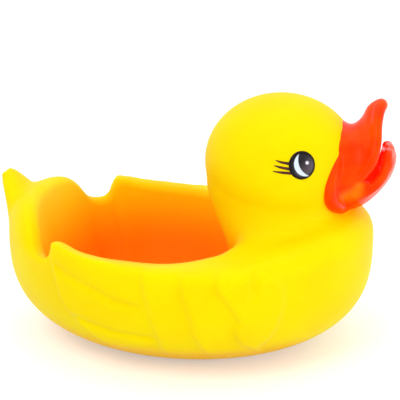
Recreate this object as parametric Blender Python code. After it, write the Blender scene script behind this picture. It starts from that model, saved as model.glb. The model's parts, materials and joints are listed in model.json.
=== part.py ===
# Rubber duck: a bath toy of soft vinyl, moulded in one piece, with a basin in its back.
# Metres, +Z up. The duck looks along +X and stands on the flat of its underside. The origin
# is on the floor, under the middle of the duck's bounding box.

import functools
import math

import bmesh
import bpy
import numpy as np
from mathutils import Matrix, Vector

MM = 0.001

# The body is a round-bottomed boat, an oval seen from above
HULL_CENTRE_X = -5.6 * MM
HULL_HALF_LENGTH = 66.4 * MM
HULL_HALF_WIDTH = 50.5 * MM
HULL_FULLNESS = 2.7
WAIST_HEIGHT = 40.0 * MM
HULL_DEPTH = 39.4 * MM
UNDERSIDE = 3.0 * MM  # height at which the round bottom is cut flat
SHOULDER_FULLNESS = 2.2
BREAST_FULLNESS = 4.0

# The rim round the basin, and the basin inside it
RIM_CENTRE_X = -20.0 * MM
RIM_HALF_LENGTH = 42.0 * MM
RIM_HALF_WIDTH = 45.0 * MM
RIM_SQUARENESS = 2.5
WALL_INSET = 4.0 * MM
LIP_DROP = 4.0 * MM
BASIN_FLOOR = 11.0 * MM
BASIN_FULLNESS = 4

# Height of the rim at angles round the basin, from the neck at 0 to the tail at 180, in mm
RIM_SHEER = (
    (0, 50.0),
    (30, 47.0),
    (45, 45.3),
    (60, 44.5),
    (75, 44.2),
    (90, 45.0),
    (105, 46.6),
    (119, 48.6),
    (126, 41.6),
    (138, 42.4),
    (150, 50.5),
    (162, 54.5),
    (180, 56.0),
)
BREAST_CROWN = 56.0 * MM

# Neck, as rings: height, middle, half length and half width, in mm
NECK_RINGS = (
    (32.0, 33.0, 22.0, 33.0),
    (42.0, 33.0, 25.0, 30.0),
    (48.0, 30.0, 25.0, 24.5),
    (53.0, 27.6, 24.4, 21.8),
    (58.0, 25.8, 24.2, 21.6),
    (65.0, 25.4, 24.4, 23.0),
)

HEAD_CENTRE = (27.4 * MM, 0.0, 69.2 * MM)
HEAD_RADII = (26.8 * MM, 25.0 * MM, 23.7 * MM)

# Tail: an upturned point behind the basin, as rings along its own line, in mm
TAIL_RINGS = (
    (-63.0, 32.0, 5.0, 19.0),
    (-65.5, 41.0, 5.0, 18.0),
    (-68.0, 48.0, 4.6, 15.0),
    (-70.5, 53.5, 4.0, 10.5),
    (-73.0, 58.0, 3.0, 6.0),
    (-74.6, 60.6, 1.8, 2.6),
)
TAIL_THICKNESS_LINE = (0.8, 0.0, 0.6)  # direction in which the tail's thickness is measured

# Where the neck's crease and the root of the tail are softened, in mm
CREASE_CENTRE = (25.0, 51.0)
CREASE_RISE = 0.12
CREASE_REACH = 13.0
NECK_AXIS_X = 30.0
NECK_REACH = 36.0
NECK_FADE = 8.0
TAIL_ROOT = (-57.0, 48.0)
TAIL_ROOT_REACH = 12.0
TAIL_ROOT_FADE = 6.0
TAIL_SOFTNESS = 0.7

# Bill: each row is half an arch, from the middle of the bill out to its corner, in mm
UPPER_BILL = (
    (
        (45.0, 0, 86.2),
        (45.0, 5.0, 85.5),
        (45.1, 10.4, 82.9),
        (45.0, 15.4, 77.0),
        (42.4, 16.0, 68.5),
        (42.0, 15.6, 62.0),
        (43.5, 12.0, 57.0),
    ),
    (
        (48.5, 0, 83.9),
        (48.3, 5.2, 83.1),
        (48.1, 10.0, 80.9),
        (47.9, 14.2, 76.6),
        (46.8, 17.0, 69.2),
        (46.4, 17.0, 62.4),
        (47.4, 13.4, 58.0),
    ),
    (
        (51.4, 0, 82.9),
        (51.3, 5.0, 82.0),
        (51.0, 9.6, 79.6),
        (50.6, 13.0, 76.0),
        (49.6, 15.8, 69.6),
        (48.9, 16.2, 63.8),
        (49.4, 13.6, 59.4),
    ),
    (
        (54.8, 0, 85.0),
        (55.1, 4.6, 83.6),
        (55.2, 9.0, 80.4),
        (54.8, 12.6, 76.6),
        (53.2, 15.3, 70.9),
        (51.6, 15.9, 65.3),
        (51.2, 13.8, 60.7),
    ),
    (
        (57.2, 0, 89.2),
        (57.5, 4.3, 87.3),
        (57.6, 8.7, 83.4),
        (57.6, 12.6, 78.8),
        (56.8, 15.4, 72.8),
        (54.6, 15.9, 67.1),
        (53.0, 13.9, 62.2),
    ),
    (
        (59.6, 0, 91.6),
        (60.0, 3.9, 90.0),
        (60.3, 8.2, 86.0),
        (60.4, 12.6, 80.4),
        (59.5, 16.0, 74.8),
        (56.3, 16.4, 68.9),
        (54.3, 13.9, 64.0),
    ),
)
LOWER_BILL = (
    (
        (44.0, 0, 54.0),
        (44.0, 6.0, 54.6),
        (44.0, 10.0, 56.4),
        (44.0, 11.8, 59.0),
    ),
    (
        (50.0, 0, 53.2),
        (49.6, 6.4, 54.0),
        (48.8, 10.8, 56.2),
        (48.4, 12.8, 58.8),
    ),
    (
        (56.0, 0, 55.6),
        (55.6, 6.8, 56.4),
        (54.4, 11.8, 58.4),
        (53.8, 13.6, 59.8),
    ),
    (
        (61.4, 0, 60.2),
        (61.0, 7.0, 61.0),
        (59.8, 12.4, 62.8),
        (59.0, 13.8, 63.2),
    ),
    (
        (65.6, 0, 66.0),
        (65.2, 7.0, 66.8),
        (63.8, 11.8, 67.8),
        (62.8, 13.0, 67.4),
    ),
    (
        (67.1, 0, 72.0),
        (66.7, 5.4, 71.8),
        (65.8, 9.6, 71.6),
        (64.6, 11.8, 71.4),
    ),
    (
        (65.8, 0, 76.0),
        (65.5, 3.8, 75.7),
        (64.9, 7.0, 75.2),
        (64.2, 9.2, 74.4),
    ),
)
BILL_THICKNESS = 3.0 * MM
MOUTH_CENTRE = (72.0 * MM, 0.0, 72.0 * MM)
THROAT_CENTRE = (43.0 * MM, 0.0, 69.0 * MM)
THROAT_RADII = (13.0 * MM, 16.5 * MM, 16.5 * MM)

# Rounded folds of the bill, as half lines of x, y, z and radius in mm: the bead where it meets the
# face, from the brow down to the chin, and the rolled rims of its two lips, out from the middle
BEAD = (
    (47.0, 0, 81.0, 1.0),
    (46.9, 6.0, 80.0, 1.0),
    (46.9, 10.8, 77.4, 1.0),
    (47.1, 14.0, 74.8, 1.2),
    (46.9, 16.4, 71.6, 1.7),
    (46.2, 17.9, 68.2, 2.0),
    (45.6, 18.0, 64.8, 2.2),
    (45.8, 16.4, 61.0, 2.5),
    (47.2, 13.4, 58.0, 2.7),
    (49.4, 8.0, 55.4, 2.2),
    (50.4, 0, 54.6, 2.0),
)
UPPER_ROLL = (
    (60.9, 0, 90.0, 2.3),
    (60.2, 3.9, 88.5, 2.1),
    (59.8, 8.0, 84.8, 1.9),
    (59.9, 12.0, 79.6, 1.8),
    (58.7, 14.9, 74.2, 1.8),
    (55.6, 15.0, 68.8, 1.7),
    (53.4, 13.0, 64.6, 1.5),
)
LOWER_ROLL = (
    (64.6, 0, 75.2, 1.8),
    (64.3, 3.8, 74.9, 1.8),
    (63.8, 7.4, 74.2, 1.8),
    (63.5, 10.2, 71.3, 1.8),
    (62.1, 11.8, 67.5, 1.8),
    (58.6, 12.8, 63.7, 1.8),
    (53.6, 12.8, 60.4, 1.7),
)

# Eye: a flat painted disc, raised a little from the head
EYE_CENTRE = (36.3 * MM, 23.1 * MM, 73.9 * MM)
EYE_RADIUS = 4.5 * MM
EYE_RISE = 0.35 * MM
EYE_ROD_LENGTH = 8.0 * MM

# Wing relief, the same on both sides: the rear edges of its rows of feathers, then the wing's
# front edge, as z and x in mm
FEATHER_EDGES = (
    (
        (50, -43.8),
        (42.4, -43.5),
        (36.4, -42.1),
        (31.3, -40.8),
        (25, -37.4),
        (21, -34),
        (17, -29.5),
        (12, -24),
    ),
    (
        (50, -11.6),
        (43, -11.2),
        (36.7, -10.4),
        (32.6, -8.9),
        (28.3, -8.7),
        (22.3, -7.1),
        (12, -5.4),
    ),
    (
        (50, 1.0),
        (43, 1.4),
        (36.1, 1.9),
        (30.9, 3.4),
        (26.9, 4.7),
        (23.4, 4.6),
        (19.3, 6.1),
        (12, 8.8),
    ),
    (
        (50, 11.3),
        (38.6, 12.5),
        (35.6, 15),
        (32.6, 16.5),
        (28, 19),
        (24, 18),
        (19.8, 18.8),
        (12, 21.8),
    ),
    (
        (50, 22),
        (45.4, 25),
        (43, 29.5),
        (38.2, 32.4),
        (30, 32.5),
        (23.8, 30.4),
        (19.8, 27),
        (12, 22.5),
    ),
)
FEATHER_HEIGHTS = ((2.0, 0.8), (2.0, 0.8), (2.1, 0.8), (2.4, 0.6))  # at each row's rear and front
FEATHER_STEP = 0.8  # length over which an edge drops
FEATHER_FOOT = 9.0  # height at which the relief starts to rise from the hull
FEATHER_FADE = 7.0
FEATHER_GROOVES = (
    ((-41.5, 41.4), (-34, 37.7), (-28.4, 35.9), (-20.7, 32.6), (-13, 31.4)),
    ((-36, 24.3), (-30.6, 22.8), (-25.9, 21.7), (-21.7, 20.6), (-16.4, 20.2), (-9, 19.9)),
    ((23.4, 43.4), (23.6, 36.4)),
)
GROOVE_DEPTH = 1.3
GROOVE_WIDTH = 1.0
FLANK_START = 0.3  # how far the hull's side must face sideways to carry feathers, as a cosine
FLANK_FADE = 0.25

# The air hole under the duck stops blind in the wall
AIR_HOLE_X = -22.0 * MM
AIR_HOLE_RADIUS = 2.0 * MM
AIR_HOLE_DEPTH = 3.0 * MM

# How finely the shapes are divided
SECTORS = 360
TAIL_SECTORS = 48
TUBE_SECTORS = 16
ROD_SECTORS = 48
HULL_RINGS = 64
SHOULDER_RINGS = 17
LIP_RINGS = 5
BASIN_RINGS = 15
NECK_STEPS = 24
TAIL_STEPS = 16
TUBE_STEPS = 8
ARCHES_ALONG = 24
UPPER_ACROSS = 49
LOWER_ACROSS = 33
BODY_VOXEL = 1.0 * MM
FILLET_PASSES = 80
BILL_VOXEL = 0.9 * MM
BILL_PASSES = 3
BODY_TRIANGLES = 8400
BILL_TRIANGLES = 3000
SHARP_ANGLE = math.radians(50)

YELLOW = (1.0, 0.8, 0.02, 1.0)
YELLOW_ROUGHNESS = 0.45
ORANGE_RED = (0.95, 0.09, 0.02, 1.0)
BILL_ROUGHNESS = 0.25
BLACK = (0.02, 0.015, 0.02, 1.0)
EYE_ROUGHNESS = 0.2


def clear_scene():
    for obj in list(bpy.data.objects):
        bpy.data.objects.remove(obj)


@functools.lru_cache(maxsize=None)
def spline(points, count):
    # A smooth line through the points, at evenly spaced parameters
    p = np.array(points, float)
    ends = np.vstack([2 * p[0] - p[1], p, 2 * p[-1] - p[-2]])
    line = []
    for s in np.linspace(0, len(p) - 1, count):
        i = min(int(s), len(p) - 2)
        t = s - i
        a, b, c, d = ends[i : i + 4]
        line.append(b + 0.5 * t * (c - a + t * (2 * a - 5 * b + 4 * c - d + t * (3 * (b - c) + d - a))))
    return np.array(line)


def mesh_object(name, bm):
    bmesh.ops.recalc_face_normals(bm, faces=bm.faces)
    mesh = bpy.data.meshes.new(name)
    bm.to_mesh(mesh)
    bm.free()
    obj = bpy.data.objects.new(name, mesh)
    bpy.context.scene.collection.objects.link(obj)
    return obj


def loft(name, rings, closed=False):
    # A solid through rings of equal count: capped at both ends, or closed on itself
    bm = bmesh.new()
    loops = [[bm.verts.new(point) for point in ring] for ring in rings]
    pairs = list(zip(loops, loops[1:]))
    if closed:
        pairs.append((loops[-1], loops[0]))
    else:
        bm.faces.new(loops[0])
        bm.faces.new(loops[-1])
    for lower, upper in pairs:
        for i in range(len(lower)):
            j = (i + 1) % len(lower)
            bm.faces.new((lower[i], lower[j], upper[j], upper[i]))
    return mesh_object(name, bm)


def ellipsoid(name, centre, radii):
    bm = bmesh.new()
    bmesh.ops.create_uvsphere(bm, u_segments=64, v_segments=40, radius=1.0)
    bmesh.ops.scale(bm, vec=radii, verts=bm.verts)
    bmesh.ops.translate(bm, vec=centre, verts=bm.verts)
    return mesh_object(name, bm)


def apply_modifier(obj, kind, **settings):
    modifier = obj.modifiers.new(kind.lower(), kind)
    for key, value in settings.items():
        setattr(modifier, key, value)
    depsgraph = bpy.context.evaluated_depsgraph_get()
    mesh = bpy.data.meshes.new_from_object(obj.evaluated_get(depsgraph))
    obj.modifiers.clear()
    obj.data = mesh


def join(name, objects):
    bm = bmesh.new()
    for obj in objects:
        bm.from_mesh(obj.data)
        bpy.data.objects.remove(obj)
    return mesh_object(name, bm)


def ease(t):
    t = min(max(t, 0.0), 1.0)
    return t * t * (3 - 2 * t)


def sheer(angle):
    # Height of the rim at an angle round the basin, the same on both sides
    degrees = abs(math.degrees(math.atan2(math.sin(angle), math.cos(angle))))
    line = spline(RIM_SHEER, 10 * len(RIM_SHEER))
    return float(np.interp(degrees, line[:, 0], line[:, 1])) * MM


def oval(angle, centre_x, half_length, half_width, squareness=2.0):
    c, s = math.cos(angle), math.sin(angle)
    x = centre_x + half_length * math.copysign(abs(c) ** (2 / squareness), c)
    y = half_width * math.copysign(abs(s) ** (2 / squareness), s)
    return np.array((x, y))


def crest_oval(angle, inset=0.0):
    return oval(angle, RIM_CENTRE_X, RIM_HALF_LENGTH - inset, RIM_HALF_WIDTH - inset, RIM_SQUARENESS)


def edge_at(edge, z):
    # Place along the duck, in mm, of a feather's edge at a height in mm
    line = spline(edge[::-1], 6 * len(edge))
    return float(np.interp(z, line[:, 0], line[:, 1]))


def line_distance(points, x, z):
    nearest = math.inf
    for (ax, az), (bx, bz) in zip(points, points[1:]):
        run, rise = bx - ax, bz - az
        t = ((x - ax) * run + (z - az) * rise) / (run * run + rise * rise)
        t = min(max(t, 0), 1)
        nearest = min(nearest, math.hypot(x - ax - t * run, z - az - t * rise))
    return nearest


def feather_height(x, z):
    # Height of the wing's relief above the hull at a place on the side, all in mm
    height, before = 0.0, 0.0
    edges = [edge_at(edge, z) for edge in FEATHER_EDGES]
    for i, (rear, front) in enumerate(zip(edges, edges[1:])):
        high, low = FEATHER_HEIGHTS[i]
        along = min(max((x - rear) / (front - rear), 0), 1)
        height += (high + (low - high) * along - before) * ease((x - rear) / FEATHER_STEP + 0.5)
        before = high + (low - high) * along
    height *= 1 - ease((x - edges[-1]) / (3 * FEATHER_STEP) + 0.5)
    for groove in FEATHER_GROOVES:
        height -= GROOVE_DEPTH * math.exp(-((line_distance(groove, x, z) / GROOVE_WIDTH) ** 2))
    return height * ease((z - FEATHER_FOOT) / FEATHER_FADE)


def feathered(angle, x, y, z):
    # A place on the hull, moved square to the waist's oval by the feathers' height there
    across = np.array((math.cos(angle) / HULL_HALF_LENGTH, math.sin(angle) / HULL_HALF_WIDTH))
    across /= np.linalg.norm(across)
    flank = ease((abs(across[1]) - FLANK_START) / FLANK_FADE)
    moved = np.array((x, y)) + across * feather_height(x / MM, z / MM) * flank * MM
    return moved[0], moved[1], z


def shoulder_point(angle, t):
    # From the waist (t = 0) up to the crest of the rim (t = 1), fuller and higher over the breast
    waist = oval(angle, HULL_CENTRE_X, HULL_HALF_LENGTH, HULL_HALF_WIDTH)
    crest = crest_oval(angle)
    front = max(math.cos(angle), 0.0) ** 3
    power = 2 / (SHOULDER_FULLNESS + (BREAST_FULLNESS - SHOULDER_FULLNESS) * front)
    x, y = crest + (waist - crest) * math.cos(t * math.pi / 2) ** power
    rim = sheer(angle)
    crown = rim + (BREAST_CROWN - rim) * front
    z = WAIST_HEIGHT + (crown - WAIST_HEIGHT) * math.sin(t * math.pi / 2) ** power
    return x, y, z - (crown - rim) * ease(2 * t - 1)


def make_body():
    # Rings from the keel, up the hull, over the rim and down into the basin
    angles = np.linspace(0, 2 * math.pi, SECTORS, endpoint=False)
    power = 2 / HULL_FULLNESS
    rings = []
    for t in np.linspace(0.02, 1, HULL_RINGS) * math.pi / 2:
        size = math.sin(t) ** power
        height = WAIST_HEIGHT - HULL_DEPTH * math.cos(t) ** power
        ovals = [oval(a, HULL_CENTRE_X, HULL_HALF_LENGTH * size, HULL_HALF_WIDTH * size) for a in angles]
        rings.append([feathered(a, x, y, height) for a, (x, y) in zip(angles, ovals)])
    for t in np.linspace(0, 1, SHOULDER_RINGS)[1:]:
        rings.append([feathered(a, *shoulder_point(a, t)) for a in angles])
    for t in np.linspace(0, 1, LIP_RINGS)[1:] * math.pi / 2:
        ring = []
        for a in angles:
            x, y = crest_oval(a, WALL_INSET * math.sin(t))
            ring.append((x, y, sheer(a) - LIP_DROP * (1 - math.cos(t))))
        rings.append(ring)
    centre = np.array((RIM_CENTRE_X, 0))
    for t in np.linspace(0, 0.97, BASIN_RINGS)[1:]:
        ring = []
        for a in angles:
            x, y = centre + (crest_oval(a, WALL_INSET) - centre) * (1 - t)
            lip = sheer(a) - LIP_DROP
            ring.append((x, y, lip + (BASIN_FLOOR - lip) * (1 - (1 - t) ** BASIN_FULLNESS)))
        rings.append(ring)
    return loft("hull", rings)


def make_neck():
    angles = np.linspace(0, 2 * math.pi, SECTORS, endpoint=False)
    rings = []
    for z, x, length, width in spline(NECK_RINGS, NECK_STEPS) * MM:
        ovals = [oval(a, x, length, width) for a in angles]
        rings.append([(px, py, z) for px, py in ovals])
    return loft("neck", rings)


def make_tail():
    # Rings square to the tail's own line, which leans back as it rises
    angles = np.linspace(0, 2 * math.pi, TAIL_SECTORS, endpoint=False)
    through = Vector(TAIL_THICKNESS_LINE)
    across = Vector((0.0, 1.0, 0.0))
    rings = []
    for x, z, thick, width in spline(TAIL_RINGS, TAIL_STEPS) * MM:
        middle = Vector((x, 0.0, z))
        rings.append([middle + through * thick * math.cos(a) + across * width * math.sin(a) for a in angles])
    return loft("tail", rings)


def make_shell(name, arches, along, across):
    # A sheet through half arches and their mirror images, thickened towards the mouth
    whole = []
    for arch in arches:
        right = tuple((x, -y, z) for x, y, z in arch[:0:-1])
        whole.append(spline(right + arch, across))
    bm = bmesh.new()
    grid = []
    for i in range(across):
        column = tuple(tuple(arch[i]) for arch in whole)
        grid.append([bm.verts.new(point) for point in spline(column, along) * MM])
    for first, second in zip(grid, grid[1:]):
        for i in range(along - 1):
            bm.faces.new((first[i], first[i + 1], second[i + 1], second[i]))
    sheet = mesh_object(name, bm)
    mouth = Vector(MOUTH_CENTRE)
    if sum(face.normal.dot(face.center - mouth) for face in sheet.data.polygons) < 0:
        sheet.data.flip_normals()
    apply_modifier(sheet, "SOLIDIFY", thickness=BILL_THICKNESS, offset=-1.0, use_even_offset=False)
    return sheet


def make_tube(name, half, closed):
    # A tube along a half line and its mirror image, closed on itself or open at the far ends
    other = tuple((x, -y, z, r) for x, y, z, r in half[:0:-1])
    if closed:
        circuit = half + other[1:]
        wrapped = circuit[-2:] + circuit + circuit[:3]
        line = spline(wrapped, (len(wrapped) - 1) * TUBE_STEPS + 1) * MM
        line = line[2 * TUBE_STEPS : (len(circuit) + 2) * TUBE_STEPS]
    else:
        line = spline(other + half, (2 * len(half) - 2) * TUBE_STEPS + 1) * MM
    last = len(line) - 1
    angles = np.linspace(0, 2 * math.pi, TUBE_SECTORS, endpoint=False)
    rings = []
    for i, (x, y, z, radius) in enumerate(line):
        before, after = (i - 1, (i + 1) % len(line)) if closed else (max(i - 1, 0), min(i + 1, last))
        along = Vector(line[after][:3]) - Vector(line[before][:3])
        side = along.cross(Vector((1, 0, 0))).normalized()
        rise = side.cross(along).normalized()
        centre = Vector((x, y, z))
        rings.append([centre + (side * math.cos(a) + rise * math.sin(a)) * radius for a in angles])
    return loft(name, rings, closed)


def soften(obj, passes, weights=None):
    # Smooths the whole object, or only as much as each vertex's weight says
    settings = {}
    if weights is not None:
        group = obj.vertex_groups.new(name="soft")
        settings["vertex_group"] = group.name
        for index, weight in weights:
            group.add([index], weight, "REPLACE")
    apply_modifier(obj, "SMOOTH", factor=0.5, iterations=passes, **settings)
    obj.vertex_groups.clear()


def fillet_weights(obj):
    # How much a place is smoothed: most in the crease of the neck and round the root of the tail
    crease_x, crease_z = CREASE_CENTRE
    root_x, root_z = TAIL_ROOT
    weights = []
    for v in obj.data.vertices:
        x, y, z = v.co / MM
        neck = 1 - ease(abs(z - crease_z - CREASE_RISE * (x - crease_x)) / CREASE_REACH)
        neck *= 1 - ease((math.hypot(x - NECK_AXIS_X, y) - NECK_REACH) / NECK_FADE)
        tail = (1 - ease(abs(z - root_z) / TAIL_ROOT_REACH)) * ease((root_x - x) / TAIL_ROOT_FADE)
        weight = max(neck, TAIL_SOFTNESS * tail)
        if weight > 0.01:
            weights.append((v.index, weight))
    return weights


def make_yellow():
    head = ellipsoid("head", HEAD_CENTRE, HEAD_RADII)
    solid = join("duck", [make_body(), make_neck(), make_tail(), head])
    apply_modifier(solid, "REMESH", mode="VOXEL", voxel_size=BODY_VOXEL)
    soften(solid, FILLET_PASSES, fillet_weights(solid))
    soften(solid, 1)
    apply_modifier(solid, "DECIMATE", ratio=BODY_TRIANGLES / triangle_count(solid))
    paint(solid, "yellow_vinyl", YELLOW, YELLOW_ROUGHNESS)
    return solid


def make_bill():
    upper = make_shell("upper_bill", UPPER_BILL, ARCHES_ALONG, UPPER_ACROSS)
    lower = make_shell("lower_bill", LOWER_BILL, ARCHES_ALONG, LOWER_ACROSS)
    throat = ellipsoid("throat", THROAT_CENTRE, THROAT_RADII)
    bead = make_tube("bead", BEAD, closed=True)
    upper_roll = make_tube("upper_roll", UPPER_ROLL, closed=False)
    lower_roll = make_tube("lower_roll", LOWER_ROLL, closed=False)
    bill = join("bill", [upper, lower, throat, bead, upper_roll, lower_roll])
    apply_modifier(bill, "REMESH", mode="VOXEL", voxel_size=BILL_VOXEL)
    soften(bill, BILL_PASSES)
    apply_modifier(bill, "DECIMATE", ratio=BILL_TRIANGLES / triangle_count(bill))
    paint(bill, "bill_paint", ORANGE_RED, BILL_ROUGHNESS)
    return bill


def make_rod(name, centre, direction, radius, length):
    turn = Vector(direction).to_track_quat("Z", "Y").to_matrix().to_4x4()
    place = Matrix.Translation(centre) @ turn
    size = {"radius1": radius, "radius2": radius, "depth": length}
    bm = bmesh.new()
    bmesh.ops.create_cone(bm, cap_ends=True, segments=ROD_SECTORS, matrix=place, **size)
    return mesh_object(name, bm)


def make_eye(side):
    # The part of a slightly larger head that a round rod, square to the skin, cuts out
    centre = Vector(EYE_CENTRE)
    centre.y *= side
    skin_normal = [(c - h) / r**2 for c, h, r in zip(centre, HEAD_CENTRE, HEAD_RADII)]
    eye = ellipsoid("eye", HEAD_CENTRE, [r + EYE_RISE for r in HEAD_RADII])
    rod = make_rod("eye_rod", centre, skin_normal, EYE_RADIUS, EYE_ROD_LENGTH)
    combine(eye, rod, "INTERSECT")
    paint(eye, "eye_paint", BLACK, EYE_ROUGHNESS)
    return eye


def combine(obj, other, operation):
    settings = {"operation": operation, "object": other, "material_mode": "TRANSFER"}
    apply_modifier(obj, "BOOLEAN", solver="EXACT", **settings)
    bpy.data.objects.remove(other)


def triangle_count(obj):
    return sum(len(p.vertices) - 2 for p in obj.data.polygons)


def paint(obj, name, colour, roughness):
    material = bpy.data.materials.new(name)
    material.use_nodes = True
    shader = material.node_tree.nodes["Principled BSDF"]
    shader.inputs["Base Color"].default_value = colour
    shader.inputs["Roughness"].default_value = roughness
    shader.inputs["Metallic"].default_value = 0.0
    material.diffuse_color = colour
    obj.data.materials.clear()
    obj.data.materials.append(material)


def make_ground():
    # A block below the underside, larger than the duck
    bm = bmesh.new()
    bmesh.ops.create_cube(bm, size=4 * HULL_HALF_LENGTH)
    bmesh.ops.translate(bm, vec=(0, 0, UNDERSIDE - 2 * HULL_HALF_LENGTH), verts=bm.verts)
    return mesh_object("ground", bm)


def stand_at_origin(obj):
    xs = [v.co.x for v in obj.data.vertices]
    obj.data.transform(Matrix.Translation((-(min(xs) + max(xs)) / 2, 0, -UNDERSIDE)))


def main():
    clear_scene()
    duck = make_yellow()
    combine(duck, make_bill(), "UNION")
    combine(duck, make_eye(1), "UNION")
    combine(duck, make_eye(-1), "UNION")
    combine(duck, make_ground(), "DIFFERENCE")
    mouth_of_hole = (AIR_HOLE_X, 0, UNDERSIDE)
    air_hole = make_rod("air_hole", mouth_of_hole, (0, 0, 1), AIR_HOLE_RADIUS, 2 * AIR_HOLE_DEPTH)
    combine(duck, air_hole, "DIFFERENCE")
    stand_at_origin(duck)
    duck.data.shade_smooth()
    duck.data.set_sharp_from_angle(angle=SHARP_ANGLE)
    return duck


if __name__ == "__main__":
    main()
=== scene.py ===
# The bath duck as it looks in the hand: soft yellow vinyl, a glossy painted bill and printed eyes
import functools
import json
import math

import bmesh
import bpy
import numpy as np
from mathutils import Matrix, Vector

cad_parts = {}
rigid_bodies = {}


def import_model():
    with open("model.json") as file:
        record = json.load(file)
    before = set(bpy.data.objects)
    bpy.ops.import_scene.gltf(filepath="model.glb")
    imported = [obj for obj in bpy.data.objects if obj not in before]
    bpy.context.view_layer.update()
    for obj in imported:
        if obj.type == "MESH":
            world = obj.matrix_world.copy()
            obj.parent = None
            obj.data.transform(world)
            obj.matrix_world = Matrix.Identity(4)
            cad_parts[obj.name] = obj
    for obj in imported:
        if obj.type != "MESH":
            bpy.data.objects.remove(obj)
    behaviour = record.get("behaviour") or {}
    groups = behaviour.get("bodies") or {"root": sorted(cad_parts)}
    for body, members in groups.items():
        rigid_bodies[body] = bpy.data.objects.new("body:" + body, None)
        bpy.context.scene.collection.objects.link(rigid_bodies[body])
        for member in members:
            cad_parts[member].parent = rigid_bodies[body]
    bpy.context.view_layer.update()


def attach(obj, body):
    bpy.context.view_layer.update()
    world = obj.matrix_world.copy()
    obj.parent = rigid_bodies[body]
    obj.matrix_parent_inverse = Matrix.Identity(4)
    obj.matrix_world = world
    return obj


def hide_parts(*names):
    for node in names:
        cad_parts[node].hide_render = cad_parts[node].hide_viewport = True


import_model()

mm = 0.001  # in metres
moulding = {
    "shift": (4.35, 0.0, -3.0),  # from the duck's own lines to where it stands; lengths are in mm
    "sectors": 540,
    "eggSectors": 128,
    "eggRings": 80,
    "bodyVoxel": 0.8,
    "filletPasses": 125,
    "skinPasses": 2,
    "billVoxel": 0.45,
    "billPasses": 14,
}


# Lines and solids

def placed(x, y, z):
    # Millimetres on the duck's own lines to metres in the frame
    return Vector((x, y, z)) * mm + Vector(moulding["shift"]) * mm


@functools.lru_cache(maxsize=None)
def smoothLine(points, count):
    # A smooth line through the points, evenly divided between them
    p = np.array(points, float)
    ends = np.vstack([2 * p[0] - p[1], p, 2 * p[-1] - p[-2]])
    line = []
    for s in np.linspace(0, len(p) - 1, count):
        i = min(int(s), len(p) - 2)
        t = s - i
        a, b, c, d = ends[i : i + 4]
        bend = 2 * a - 5 * b + 4 * c - d + t * (3 * (b - c) + d - a)
        line.append(b + 0.5 * t * (c - a + t * bend))
    return np.array(line)


def ease(t):
    t = min(max(t, 0.0), 1.0)
    return t * t * (3 - 2 * t)


def newPiece(name, bm):
    bmesh.ops.recalc_face_normals(bm, faces=bm.faces)
    mesh = bpy.data.meshes.new(name)
    bm.to_mesh(mesh)
    bm.free()
    piece = bpy.data.objects.new(name, mesh)
    bpy.context.scene.collection.objects.link(piece)
    return piece


def loftRings(name, rings, closed=False):
    # Skin through rings of equal count, capped at its ends or closed on itself
    bm = bmesh.new()
    loops = [[bm.verts.new(point) for point in ring] for ring in rings]
    pairs = list(zip(loops, loops[1:]))
    if closed:
        pairs.append((loops[-1], loops[0]))
    else:
        bm.faces.new(loops[0])
        bm.faces.new(loops[-1])
    for lower, upper in pairs:
        for i in range(len(lower)):
            j = (i + 1) % len(lower)
            bm.faces.new((lower[i], lower[j], upper[j], upper[i]))
    return newPiece(name, bm)


def eggShape(name, centre, radii):
    bm = bmesh.new()
    count = {"u_segments": moulding["eggSectors"], "v_segments": moulding["eggRings"]}
    bmesh.ops.create_uvsphere(bm, radius=1.0, **count)
    bmesh.ops.scale(bm, vec=[radius * mm for radius in radii], verts=bm.verts)
    bmesh.ops.translate(bm, vec=placed(*centre), verts=bm.verts)
    return newPiece(name, bm)


def withModifier(piece, kind, **settings):
    # Adds a modifier and makes its result the piece's own mesh
    modifier = piece.modifiers.new(kind.lower(), kind)
    for key, value in settings.items():
        setattr(modifier, key, value)
    depsgraph = bpy.context.evaluated_depsgraph_get()
    mesh = bpy.data.meshes.new_from_object(piece.evaluated_get(depsgraph))
    piece.modifiers.clear()
    piece.data = mesh


def joined(name, parts):
    bm = bmesh.new()
    for part in parts:
        bm.from_mesh(part.data)
        bpy.data.objects.remove(part)
    return newPiece(name, bm)


def soften(piece, passes, weights=None):
    # Smooths a piece all over, or only as far as each point's weight says
    settings = {}
    if weights is not None:
        group = piece.vertex_groups.new(name="soft")
        settings["vertex_group"] = group.name
        for index, weight in weights:
            group.add([index], weight, "REPLACE")
    withModifier(piece, "SMOOTH", factor=0.5, iterations=passes, **settings)
    piece.vertex_groups.clear()


def ovalPoint(angle, centreX, halfLength, halfWidth, squareness=2.0):
    # On an oval seen from above; it grows squarer as squareness rises over 2
    c, s = math.cos(angle), math.sin(angle)
    x = centreX + halfLength * math.copysign(abs(c) ** (2 / squareness), c)
    y = halfWidth * math.copysign(abs(s) ** (2 / squareness), s)
    return np.array((x, y))


# The wings' feathers, moulded into the sides

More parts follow.
